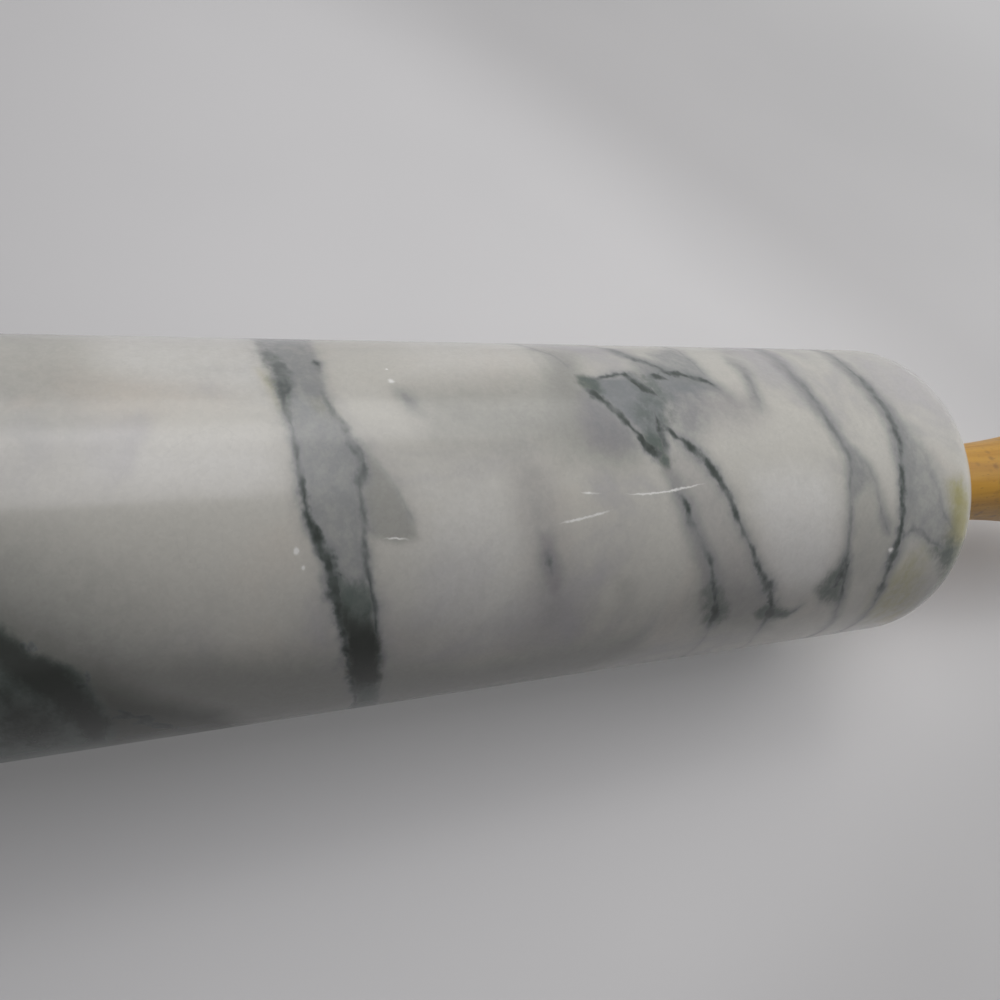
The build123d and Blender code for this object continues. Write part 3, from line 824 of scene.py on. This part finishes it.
# The wide band's filling is bluish all round, and turns dark green and nearly black between these degrees.
# On the hidden side pale streaks run through it.
bandFill = {
    "cool": 0.66,
    "dark": 0.92,
    "edge": 1.6,                # mm
    "width": 20.0,              # mm, more than the band's
    "seam": 46.0,               # degrees, where the way round starts
    "green": ((-42.0, -49.0), (-120.0, -155.0)),
    "black": ((-50.0, -60.0), (-76.0, -88.0)),
    "streaks": 0.5,
    "streaksFrom": (-100.0, -130.0),
    "streakWaves": (0.8, 2.0, 0.05),
}
# How the lines are laid on the barrel, in mm
laying = {
    "missedShare": 1.6,         # how far round the hidden side a mark goes, for each mm of miss
    "tipLength": 3.0,           # an open line fades out over this length
    "tipWidth": 0.35,           # the share of its width that is left there
    "reach": 2.5,               # its layer keeps it to this far past its width
    "rim": 0.9,                 # and gives it no strength in the last of that
    "noLine": 9.0,              # the distance where a layer has no line
}


def pixelRay(px, py):
    focal = view["lens"] / view["sensor"] * view["photoPixels"]
    middle = view["photoPixels"] / 2
    ray = cameraMatrix.to_3x3() @ Vector(((px - middle) / focal, (middle - py) / focal, -1))
    return cameraMatrix.translation, ray.normalized()


# Distance along the outline from the middle in mm, angle round the axle, and radius in mm
def unrolled(places):
    x, across = places[:, 0] / mm, np.hypot(places[:, 1], places[:, 2]) / mm
    past = np.abs(x) - straightEnd
    bend = np.arctan2(np.maximum(past, 0), across - faceRadius)
    along = np.where(past > 0, straightEnd + barrel["shoulder"] * bend, np.abs(x))
    along = np.where(across < faceRadius, straightEnd + shoulderArc + faceRadius - across, along)
    return along * np.sign(x), np.arctan2(places[:, 1], places[:, 2]), across


# A ray that misses the barrel gets the nearest place on it, and how far in mm it misses
def hitBarrel(px, py):
    start, ray = pixelRay(px, py)
    hit = barrelTree.ray_cast(start, ray)[0]
    if hit is not None:
        return hit, 0.0
    passing = start - ray * start.yz.dot(ray.yz) / ray.yz.length_squared
    hit, *_, missed = barrelTree.find_nearest(passing)
    return hit, missed / mm


# Where the picture shows past the barrel's edge, a mark goes on round the hidden side
def placeOnBarrel(px, py):
    hit, missed = hitBarrel(px, py)
    along, angle, _ = unrolled(np.array([hit]))
    further = laying["missedShare"] * missed / barrelRadius
    return along[0], angle[0] + np.sign(angle[0]) * further


def marksOf(line):
    marks = [(along, radians(turn), *rest) for along, turn, *rest in line.get("before", ())]
    marks += [(*placeOnBarrel(px, py), *rest) for px, py, *rest in line.get("seen", ())]
    marks += [(along, radians(turn), *rest) for along, turn, *rest in line.get("after", ())]
    return np.array(marks, dtype=float)


# A smooth path through the marks, with a point about every mm
def smoothPath(marks, closed):
    if closed:
        wholeTurn = np.zeros(marks.shape[1])
        wholeTurn[1] = 2 * pi
        marks = np.vstack([marks[-1] + wholeTurn, marks, marks[0] - wholeTurn, marks[1] - wholeTurn])
    else:
        marks = np.vstack([2 * marks[0] - marks[1], marks, 2 * marks[-1] - marks[-2]])
    path = [marks[1]]
    for a, b, c, d in zip(marks, marks[1:], marks[2:], marks[3:]):
        length = np.hypot(c[0] - b[0], (c[1] - b[1]) * barrelRadius)
        for t in np.linspace(0, 1, max(2, int(length) + 1))[1:]:
            path.append(b + (c - a) * t / 2 + (a - 2.5 * b + 2 * c - d / 2) * t**2
                        + (1.5 * (b - c) + (d - a) / 2) * t**3)
    return np.array(path)


barrelPoints = np.empty(len(barrelMesh.vertices) * 3)
barrelMesh.vertices.foreach_get("co", barrelPoints)
pointAlong, pointAngle, pointAcross = unrolled(barrelPoints.reshape(-1, 3))


# For each point of the mesh within reach of a path: the distance with its side, and the path's width and
# strength there
def measurePath(path, reach):
    count = len(pointAlong)
    nearest, signed = np.full(count, reach), np.full(count, reach)
    carried = np.zeros((count, path.shape[1] - 2))
    for start, end in zip(path, path[1:]):
        runAlong = end[0] - start[0]
        span = reach + np.hypot(runAlong, (end[1] - start[1]) * barrelRadius)
        for turn in (-2 * pi, 0, 2 * pi):
            along, around = pointAlong - start[0], (pointAngle + turn - start[1]) * pointAcross
            near = np.flatnonzero((np.abs(along) < span) & (np.abs(around) < span))
            if not near.size:
                continue
            along, around = along[near], around[near]
            runAround = (end[1] - start[1]) * pointAcross[near]
            lengthSquared = runAlong**2 + runAround**2 + 1e-12     # never quite nothing, to divide by it
            share = np.clip((along * runAlong + around * runAround) / lengthSquared, 0, 1)
            away = np.hypot(along - share * runAlong, around - share * runAround)
            closer = away < nearest[near]
            chosen, share = near[closer], share[closer, None]
            nearest[chosen] = away[closer]
            signed[chosen] = np.where(runAlong * around - runAround * along > 0, away, -away)[closer]
            carried[chosen] = start[2:] + share * (end[2:] - start[2:])
    return signed, carried


def smoothStep(value):
    value = np.clip(value, 0, 1)
    return value * value * (3 - 2 * value)


# 0 where the value is at the first limit, 1 at the second
def rise(value, limits):
    return smoothStep((limits[0] - value) / (limits[0] - limits[1]))


def setAttribute(name, kind, field, values):
    made = barrelMesh.attributes.new(name, kind, "POINT")
    made.data.foreach_set(field, values.astype(np.float32).ravel())


# An open line thins out at its ends, a short one over a third of its length
def thinTips(path):
    steps = np.hypot(np.diff(path[:, 0]), np.diff(path[:, 1]) * barrelRadius)
    run = np.concatenate([[0], np.cumsum(steps)])
    tip = smoothStep(np.minimum(run, run[-1] - run) / min(laying["tipLength"], run[-1] / 3))
    path[:, 2] *= laying["tipWidth"] + (1 - laying["tipWidth"]) * tip
    path[:, 3] *= tip


# Lines that come close to each other go in different layers, because a layer keeps one line at each point
def layLines(lines, layerName):
    layers = []
    for line in lines.values():
        closed = line.get("closed", False)
        path = smoothPath(marksOf(line), closed)
        if not closed:
            thinTips(path)
        reach = laying["reach"] + path[:, 2].max()
        signed, carried = measurePath(path, reach)
        held = np.abs(signed) < reach
        layer = next((layer for layer in layers if not (layer["held"] & held).any()), None)
        if layer is None:
            layer = {"held": np.zeros(len(held), bool), "data": np.zeros((len(held), 3))}
            layer["data"][:, 0] = laying["noLine"]
            layers.append(layer)
        strength = carried[:, 1] * (np.abs(signed) < reach - laying["rim"])
        layer["data"][held] = np.stack([signed, carried[:, 0] / 2, strength], axis=1)[held]
        layer["held"] |= held
    for index, layer in enumerate(layers):
        setAttribute(f"{layerName}{index}", "FLOAT_VECTOR", "vector", layer["data"])
    return len(layers)


# How far inside the patch's corners each point is, in mm, and less than 0 outside them
def depthInPatch(corners, soft):
    ring = np.array([placeOnBarrel(px, py) for px, py in corners + corners[:1]])
    inside = np.zeros(len(pointAlong), bool)
    for start, end in zip(ring, ring[1:]):
        crosses = (start[1] > pointAngle) != (end[1] > pointAngle)
        slope = (end[0] - start[0]) / ((end[1] - start[1]) or 1.0)
        inside ^= crosses & (pointAlong < start[0] + (pointAngle - start[1]) * slope)
    away = np.abs(measurePath(ring, 2 * soft + 1)[0])
    return np.where(inside, away, -away)


def layTones():
    amounts = {tone: np.zeros(len(pointAlong)) for tone in tones}

    def add(tone, amount):
        amounts[tone] = 1 - (1 - amounts[tone]) * (1 - amount)

    for tone, shade, soft, corners in patches.values():
        add(tone, shade * smoothStep(0.5 + depthInPatch(corners, soft) / soft / 2))

    left, right = (measurePath(smoothPath(marksOf(veins[name]), True), bandFill["width"])[0]
                   for name in ("bandLeft", "bandRight"))
    band = smoothStep(0.5 + left / bandFill["edge"]) * smoothStep(0.5 - right / bandFill["edge"])
    turn = np.degrees(pointAngle)
    turn = np.where(turn > bandFill["seam"], turn - 360, turn)
    pitch, sway, swayPitch = bandFill["streakWaves"]
    streaks = 0.5 + 0.5 * np.sin(pitch * pointAlong + sway * np.sin(swayPitch * turn))
    streaks = bandFill["streaks"] * rise(turn, bandFill["streaksFrom"]) * streaks
    add("cool", bandFill["cool"] * band * (1 - streaks))
    for tone in ("green", "black"):
        begins, ends = bandFill[tone]
        add(tone, bandFill["dark"] * band * rise(turn, begins) * (1 - rise(turn, ends)))
    for tone, amount in amounts.items():
        setAttribute(tone + "Stain", "FLOAT", "value", amount)


veinLayers = layLines(veins, "veins")
smokeLayers = layLines(smokes, "smokes")
scratchLayers = layLines(scratches, "scratches")
layTones()
print("marble laid out:", len(veins), "veins in", veinLayers, "layers,", len(patches), "patches")


# Marble barrel: its polish and colours

marble = {
    "white": (0.578, 0.568, 0.524),
    "cloud": (0.432, 0.428, 0.408),
    "cloudShare": 0.62,
    "lilacTint": (0.46, 0.448, 0.458),
    "warmTint": (0.58, 0.55, 0.495),
    "warmShare": 0.7,
    "hairline": (0.25, 0.26, 0.26),
    "hairlineShare": 0.10,
    "smoke": (0.19, 0.205, 0.207),
    "haze": (0.275, 0.285, 0.285),
    "hazeShare": (0.5, 0.25),
    "scratch": (0.92, 0.92, 0.90),
    "chipEdge": (1.7, 0.3),     # a chip starts and is full at these shares of its radius
    "chipRagged": 0.9,
    "chipShare": 0.75,
    "grainSize": 0.45,          # mm, the stone's crystals
    "grainShare": 0.05,
    "fineShare": 0.12,
    "drawnOut": 0.72,           # what breaks up the veins is drawn out round the barrel, as they are
    "bends": 1.1,               # how far the veins stray, in large bends and small ones
    "jitter": 0.2,
    "scratchBends": 0.5,
    "swell": (0.9, 0.55),       # how much the veins' width changes, and its least
    "blurs": {"smokes": 0.8, "veins": 0.32, "scratches": 0.05},
    "roughness": (0.15, 0.24),
    "scratchRoughness": 0.55,
    "sawnRoughness": 0.6,
    "sawnFrom": (0.7, 0.4),     # mm past the pocket's radius
    "veinDepth": 0.25,          # how deep veins and sawn marks are, next to a scratch
    "sawnDepth": 3.0,
    "waveHeight": 0.35,
    "bumpStrength": 0.35,
    "bumpDepth": 0.03,          # mm
}
# The noises that break up the stone: size in mm, detail, roughness and distortion
stoneNoises = {
    "clouds": (26.0, 4.0, 0.6, 0.6),
    "cloudlets": (26.0 / 3, 3.0, 0.6),
    "fine": (1.3, 5.0, 0.7),
    "hairlines": (17.0, 5.0, 0.62, 0.9),
    "raggedEdges": (1.7, 4.0, 0.6),
    "bends": (2.6, 2.0, 0.5),
    "jitter": (0.8, 2.0, 0.5),
    "mottle": (1.9, 2.5, 0.5),
    "swell": (2.2, 3.0, 0.6),
    "haze": (4.5, 4.0, 0.6),
    "scratchBends": (0.7, 2.0, 0.5),
    "waves": (7.0, 2.0),
}
# Where what the noises make starts to show, and where it is full
stoneFades = {
    "cloud": (0.42, 0.68),
    "lilac": (0.5, 0.75),
    "warm": (0.52, 0.75),
    "hairline": (0.012, 0.0),
    "hairlinePatches": (0.45, 0.65),
    "ragged": (0.32, 0.66),
    "mottle": (0.26, 0.68),
    "swell": (0.3, 0.7),
    "haze": (0.32, 0.62),
    "veinColor": (0.0, 0.75),
    "scratchGaps": (0.36, 0.5),
    "dull": (0.35, 0.65),
}
veinColors = [(0.0, (0.34, 0.35, 0.355)), (0.45, (0.20, 0.213, 0.215)), (0.78, (0.075, 0.09, 0.083)),
              (1.0, (0.022, 0.029, 0.023))]
# A vein strays and softens more the wider it is, gaps lighten it, and a halo stands round it
veinLine = {
    "stray": (0.9, 0.7),
    "soft": 0.5,
    "gaps": 0.34,
    "nearHalo": (1.1, 0.55),    # mm wide, and its share
    "wideHalo": (2.4, 0.45),
}


# How dark a vein is at one point, from its layer's distance, half width and strength
def makeVeinGroup():
    numbers = {name: "Float" for name in ("Warp", "Mottle", "Swell", "Blur")}
    inputs = {"Vein": "Vector", **numbers}
    group, given, result = newGroup("veinLine", inputs, {"Dark": "Float", "Halo": "Float"})
    parts = parted(group, given["Vein"])
    strength = parts["Z"]
    half = calc(group, "MULTIPLY", parts["Y"], given["Swell"])
    stray = calc(group, "MULTIPLY", given["Warp"], calc(group, "MULTIPLY_ADD", half, *veinLine["stray"]))
    away = calc(group, "ABSOLUTE", calc(group, "ADD", parts["X"], stray))
    soft = calc(group, "MULTIPLY_ADD", half, veinLine["soft"], given["Blur"])
    core = fade(group, away, calc(group, "ADD", half, soft), calc(group, "SUBTRACT", half, soft))
    gap = calc(group, "MULTIPLY", calc(group, "SUBTRACT", 1.0, given["Mottle"]), veinLine["gaps"])
    dark = calc(group, "MULTIPLY", core, strength)
    dark = calc(group, "MULTIPLY", dark, calc(group, "SUBTRACT", 1.0, gap))
    halo = 0.0
    for width, share in (veinLine["wideHalo"], veinLine["nearHalo"]):
        ring = fade(group, away, calc(group, "ADD", half, width), half)
        halo = calc(group, "MULTIPLY_ADD", ring, share, halo)
    plug(group, result["Dark"], dark)
    plug(group, result["Halo"], calc(group, "MULTIPLY", halo, strength))
    return group


def makeMarble():
    material, tree, shader = newMaterial("polishedMarble")
    place = placeInMm(tree)
    drawnOut = stretched(tree, place, 1.0, marble["drawnOut"])
    group = makeVeinGroup()

    def stoneNoise(name, where=place):
        size, *settings = stoneNoises[name]
        return noise(tree, where, 1 / size, *settings)

    def aside(name, where=place):
        return calc(tree, "SUBTRACT", stoneNoise(name, where)["Fac"], 0.5)

    def shown(value, name):
        return fade(tree, value, *stoneFades[name])

    def layerLines(name, count, warp, mottle, swell=1.0):
        for index in range(count):
            inputs = {"Vein": attribute(tree, f"{name}{index}")["Vector"], "Warp": warp, "Mottle": mottle,
                      "Swell": swell, "Blur": marble["blurs"][name]}
            yield addNode(tree, "ShaderNodeGroup", inputs, node_tree=group).outputs

    broad = stoneNoise("clouds")
    cloudlets = stoneNoise("cloudlets")["Fac"]
    fine = stoneNoise("fine")["Fac"]
    cloud = calc(tree, "MULTIPLY", shown(broad["Fac"], "cloud"), marble["cloudShare"])
    cloud = calc(tree, "MULTIPLY", cloud, calc(tree, "ADD", cloudlets, 0.5))
    color = mixColor(tree, cloud, marble["white"], marble["cloud"])
    tints = splitColor(tree, broad["Color"])
    color = mixColor(tree, shown(tints["Red"], "lilac"), color, marble["lilacTint"])
    warm = calc(tree, "MULTIPLY", shown(tints["Green"], "warm"), marble["warmShare"])
    color = mixColor(tree, warm, color, marble["warmTint"])

    # Faint hairlines where a noise crosses its middle value
    ridge = calc(tree, "ABSOLUTE", aside("hairlines"))
    hairline = calc(tree, "MULTIPLY", shown(ridge, "hairline"), shown(cloudlets, "hairlinePatches"))
    hairline = calc(tree, "MULTIPLY", hairline, marble["hairlineShare"])
    color = mixColor(tree, hairline, color, marble["hairline"])

    # Filled patches and stains, with ragged edges; the pale tone among them is painted light and the shadow
    # tone painted shade
    ragged = calc(tree, "SUBTRACT", shown(stoneNoise("raggedEdges", drawnOut)["Fac"], "ragged"), 0.5)
    for name, tone in tones.items():
        amount = attribute(tree, name + "Stain")["Fac"]
        edge = calc(tree, "MULTIPLY", amount, calc(tree, "SUBTRACT", 1.0, amount))
        edge = calc(tree, "MULTIPLY", edge, ragged)
        share = calc(tree, "MULTIPLY_ADD", edge, tone["ragged"], amount, clamp=True)
        color = mixColor(tree, share, color, tone["color"])

    # Smoke and veins: each layer's line strays a little from its path
    bend, jitter = aside("bends", drawnOut), aside("jitter", drawnOut)
    warp = calc(tree, "ADD", calc(tree, "MULTIPLY", bend, marble["bends"]),
                calc(tree, "MULTIPLY", jitter, marble["jitter"]))
    mottle = shown(stoneNoise("mottle", drawnOut)["Fac"], "mottle")
    swell = shown(stoneNoise("swell", drawnOut)["Fac"], "swell")
    swell = calc(tree, "MULTIPLY_ADD", swell, *marble["swell"])
    smokiness = 0.0
    for line in layerLines("smokes", smokeLayers, bend, cloudlets):
        smokiness = calc(tree, "MAXIMUM", smokiness, line["Dark"])
    color = mixColor(tree, smokiness, color, marble["smoke"], "DARKEN")
    kept, halo = 1.0, 0.0
    for line in layerLines("veins", veinLayers, warp, mottle, swell):
        kept = calc(tree, "MULTIPLY", kept, calc(tree, "SUBTRACT", 1.0, line["Dark"]))
        halo = calc(tree, "MAXIMUM", halo, line["Halo"])
    vein = calc(tree, "SUBTRACT", 1.0, kept)
    haze = shown(stoneNoise("haze", drawnOut)["Fac"], "haze")
    haze = calc(tree, "MULTIPLY", halo, calc(tree, "MULTIPLY_ADD", haze, *marble["hazeShare"]))
    color = mixColor(tree, haze, color, marble["haze"], "DARKEN")
    ramp = addNode(tree, "ShaderNodeValToRGB", {"Fac": vein})
    while len(ramp.color_ramp.elements) < len(veinColors):
        ramp.color_ramp.elements.new(1.0)
    for element, (darkness, veinColor) in zip(ramp.color_ramp.elements, veinColors):
        element.position, element.color = darkness, (*veinColor, 1)
    color = mixColor(tree, shown(vein, "veinColor"), color, ramp.outputs["Color"], "DARKEN")

    # Crystals, scratches, chips, and the dull stone inside the pockets and the bore
    grain = addNode(tree, "ShaderNodeTexVoronoi", {"Vector": place, "Scale": 1 / marble["grainSize"]})
    sparkle = calc(tree, "SUBTRACT", splitColor(tree, grain.outputs["Color"])["Red"], 0.5)
    level = calc(tree, "MULTIPLY_ADD", sparkle, marble["grainShare"], 1.0)
    fineLevel = calc(tree, "MULTIPLY_ADD", fine, marble["fineShare"], 1 - marble["fineShare"] / 2)
    color = scaled(tree, color, calc(tree, "MULTIPLY", level, fineLevel))

    scratchBend = calc(tree, "MULTIPLY", aside("scratchBends"), marble["scratchBends"])
    mark = 0.0
    for line in layerLines("scratches", scratchLayers, scratchBend, shown(fine, "scratchGaps")):
        mark = calc(tree, "MAXIMUM", mark, line["Dark"])
    for px, py, radius in chips.values():
        centre = hitBarrel(px, py)[0] / mm
        away = addNode(tree, "ShaderNodeVectorMath", {0: place, 1: centre}, operation="DISTANCE")
        away = calc(tree, "MULTIPLY_ADD", jitter, marble["chipRagged"], away.outputs["Value"])
        chip = fade(tree, away, *(radius * share for share in marble["chipEdge"]))
        mark = calc(tree, "MAXIMUM", mark, calc(tree, "MULTIPLY", chip, marble["chipShare"]))
    color = mixColor(tree, mark, color, marble["scratch"])

    sawnFrom = [barrel["pocketRadius"] + past for past in marble["sawnFrom"]]
    sawn = fade(tree, fromAxle(tree, place), *sawnFrom)
    roughness = between(tree, cloudlets, marble["roughness"], *stoneFades["dull"])
    for share, rougher in ((mark, marble["scratchRoughness"]), (sawn, marble["sawnRoughness"])):
        roughness = calc(tree, "MAXIMUM", roughness, calc(tree, "MULTIPLY", share, rougher))
    dent = calc(tree, "ADD", calc(tree, "MULTIPLY", vein, marble["veinDepth"]), mark)
    sawnDent = calc(tree, "MULTIPLY", sawn, calc(tree, "MULTIPLY", fine, marble["sawnDepth"]))
    dent = calc(tree, "MULTIPLY", calc(tree, "ADD", dent, sawnDent), -1.0)
    height = calc(tree, "MULTIPLY_ADD", stoneNoise("waves")["Fac"], marble["waveHeight"], dent)
    normal = bumped(tree, height, marble["bumpStrength"], marble["bumpDepth"])
    feed(tree, shader, {"Base Color": color, "Roughness": roughness, "Normal": normal})
    return material


barrelMesh.materials.append(makeMarble())
print("marble polished")


# Handles and end plugs: lacquered wood with rings, pores and turning marks

wood = {
    "ringSpacing": 2.6,                 # mm
    "grainTurn": (0.0, 4.0, 2.0),       # degrees between the grain and the axle
    "ringShare": 0.4,
    "streakShare": 0.4,
    "patches": (16.0, 2.0),             # mm, and detail
    "patchFade": (0.45, 0.7),
    "patch": ((0.50, 0.235, 0.04), 0.3),    # colours and their shares
    "fleck": ((0.22, 0.09, 0.006), 0.7),
    "pore": ((0.18, 0.08, 0.012), 0.5),
    "latheSpacing": 0.55,               # mm
    "latheDepth": 0.5,
    "streakDepth": 0.3,
    "lacquer": 0.3,
    "lacquerRoughness": 0.3,
    "roughness": (0.38, 0.52),
    "bumpStrength": 0.5,
    "bumpDepth": 0.02,                  # mm
}
# Where the middle of the tree lies from each piece, in mm, and the piece's light and deep wood
woodPieces = {
    "right_handle": ((0.0, 17.0, -23.0), (0.53, 0.275, 0.014), (0.40, 0.182, 0.009)),
    "left_handle": ((90.0, -21.0, 15.0), (0.52, 0.272, 0.016), (0.39, 0.18, 0.010)),
    "right_end_plug": ((40.0, 9.0, 14.0), (0.50, 0.255, 0.022), (0.36, 0.16, 0.010)),
    "left_end_plug": ((-40.0, -12.0, -9.0), (0.49, 0.25, 0.022), (0.35, 0.155, 0.010)),
}


# The grain's noises: how much they are drawn out along the tree and aside from it, detail and roughness.
# Its pores: how much they are drawn out, their outer and inner edges, and how rare they are.
woodGrain = {
    "ringStray": (0.012, 0.05, 3.0, 0.5),
    "ringStrayMost": 7.0,       # mm
    "lateWood": (0.1, 0.86),    # the shares of a year over which a ring darkens, and pales again
    "newYear": (1.0, 0.9),
    "streaks": (0.035, 1.5, 4.0, 0.6),
    "streakFade": (0.3, 0.7),
    "pores": (0.55, 2.6, 0.34, 0.1, 0.5),
    "flecks": (0.36, 0.42, 0.42, 0.06, 0.45),
    "rareFade": 0.15,
}
turnedDetail = (2.0, 0.6)       # detail and roughness of the turning marks
placeAndSpacing = {"Place": "Vector", "Spacing": "Float"}


# Lines round the axle, as a lathe or a mould leaves them
def makeTurningGroup():
    group, given, result = newGroup("turningMarks", placeAndSpacing, {"Marks": "Float"})
    place = given["Place"]
    flat = addNode(group, "ShaderNodeCombineXYZ", {0: parted(group, place)["X"], 1: fromAxle(group, place)})
    marks = noise(group, flat.outputs[0], calc(group, "DIVIDE", 1.0, given["Spacing"]), *turnedDetail)
    plug(group, result["Marks"], marks["Fac"])
    return group


# Yearly rings round the tree's middle, streaks along them, and two sizes of dark pores
def makeGrainGroup():
    masks = {name: "Float" for name in ("Rings", "Streaks", "Pores", "Flecks")}
    group, given, result = newGroup("turnedGrain", placeAndSpacing, masks)
    place = given["Place"]

    def drawn(along, aside, detail, roughness):
        return noise(group, stretched(group, place, along, aside), 1.0, detail, roughness)["Fac"]

    def dotted(along, aside, outer, inner, rare):
        cells = addNode(group, "ShaderNodeTexVoronoi", {"Vector": stretched(group, place, along, aside),
                                                        "Scale": 1.0}).outputs
        picked = fade(group, splitColor(group, cells["Color"])["Red"], rare, rare + woodGrain["rareFade"])
        return calc(group, "MULTIPLY", fade(group, cells["Distance"], outer, inner), picked)

    stray = drawn(*woodGrain["ringStray"])
    reach = calc(group, "MULTIPLY_ADD", stray, woodGrain["ringStrayMost"], fromAxle(group, place))
    year = calc(group, "FRACT", calc(group, "DIVIDE", reach, given["Spacing"]))
    darkens, pales = (fade(group, year, *woodGrain[part]) for part in ("lateWood", "newYear"))
    plug(group, result["Rings"], calc(group, "MULTIPLY", darkens, pales))
    plug(group, result["Streaks"], fade(group, drawn(*woodGrain["streaks"]), *woodGrain["streakFade"]))
    plug(group, result["Pores"], dotted(*woodGrain["pores"]))
    plug(group, result["Flecks"], dotted(*woodGrain["flecks"]))
    return group


turningMarks = makeTurningGroup()
grainGroup = makeGrainGroup()


def turnedMarks(tree, place, spacing):
    inputs = {"Place": place, "Spacing": spacing}
    return addNode(tree, "ShaderNodeGroup", inputs, node_tree=turningMarks).outputs["Marks"]


def makeWood(name, pith, light, deep):
    material, tree, shader = newMaterial(name + "_wood")
    place = placeInMm(tree)
    rotation = [radians(turn) for turn in wood["grainTurn"]]
    tilted = addNode(tree, "ShaderNodeMapping", {"Vector": place, "Location": pith, "Rotation": rotation})
    inputs = {"Place": tilted.outputs[0], "Spacing": wood["ringSpacing"]}
    grain = addNode(tree, "ShaderNodeGroup", inputs, node_tree=grainGroup).outputs
    streaks, pores = grain["Streaks"], grain["Pores"]
    shade = calc(tree, "ADD", calc(tree, "MULTIPLY", grain["Rings"], wood["ringShare"]),
                 calc(tree, "MULTIPLY", streaks, wood["streakShare"]))
    color = mixColor(tree, calc(tree, "MINIMUM", shade, 1.0), light, deep)
    patchSize, patchDetail = wood["patches"]
    patch = fade(tree, noise(tree, place, 1 / patchSize, patchDetail)["Fac"], *wood["patchFade"])
    for stain, where in {"patch": patch, "fleck": grain["Flecks"], "pore": pores}.items():
        stainColor, share = wood[stain]
        color = mixColor(tree, calc(tree, "MULTIPLY", where, share), color, stainColor)
    marks = turnedMarks(tree, place, wood["latheSpacing"])
    height = calc(tree, "SUBTRACT", calc(tree, "MULTIPLY", marks, wood["latheDepth"]), pores)
    height = calc(tree, "MULTIPLY_ADD", streaks, -wood["streakDepth"], height)
    feed(tree, shader, {
        "Base Color": color,
        "Roughness": between(tree, streaks, wood["roughness"]),
        "Normal": bumped(tree, height, wood["bumpStrength"], wood["bumpDepth"]),
        "Coat Weight": wood["lacquer"],
        "Coat Roughness": wood["lacquerRoughness"],
    })
    return material


def dress(node, material):
    mesh = nodes[node].data
    mesh.materials.clear()
    mesh.materials.append(material)


for name, woods in woodPieces.items():
    dress(name, makeWood(name, *woods))
print("wood grained:", len(woodPieces), "pieces")


# Steel axle, washers and nuts, and the nylon bushes

bearingFinishes = {
    "turnedSteel": {
        "nodes": ("axle_rod", "left_thrust_washer", "right_thrust_washer", "left_nut_washer",
                  "right_nut_washer", "left_lock_nut", "right_lock_nut"),
        "color": (0.60, 0.60, 0.61),
        "worn": (0.46, 0.46, 0.47),
        "wornSize": 4.0,        # mm
        "wornFrom": (0.4, 0.7),
        "metallic": 1.0,
        "roughness": (0.22, 0.40),
        "markSpacing": 0.22,    # mm
        "grit": 0.0,
        "bumpStrength": 0.5,
    },
    "mouldedNylon": {
        "nodes": ("left_bush", "right_bush"),
        "color": (0.80, 0.79, 0.73),
        "worn": (0.70, 0.685, 0.62),
        "wornSize": 5.0,
        "wornFrom": (0.35, 0.7),
        "metallic": 0.0,
        "roughness": (0.36, 0.5),
        "markSpacing": 0.8,
        "grit": 0.4,
        "bumpStrength": 0.4,
    },
}
gritSize, gritDetail = 0.25, 2.0    # mm
markDepth = 0.02                    # mm


def makeBearingFinish(name, finish):
    material, tree, shader = newMaterial(name)
    place = placeInMm(tree)
    worn = fade(tree, noise(tree, place, 1 / finish["wornSize"])["Fac"], *finish["wornFrom"])
    marks = turnedMarks(tree, place, finish["markSpacing"])
    grit = calc(tree, "MULTIPLY", noise(tree, place, 1 / gritSize, gritDetail)["Fac"], finish["grit"])
    height = calc(tree, "MULTIPLY_ADD", marks, 1 - finish["grit"], grit)
    feed(tree, shader, {
        "Base Color": mixColor(tree, worn, finish["color"], finish["worn"]),
        "Metallic": finish["metallic"],
        "Roughness": between(tree, worn, finish["roughness"]),
        "Normal": bumped(tree, height, finish["bumpStrength"], markDepth),
    })
    return material


for name, finish in bearingFinishes.items():
    material = makeBearingFinish(name, finish)
    for node in finish["nodes"]:
        dress(node, material)
print("steel and nylon finished")
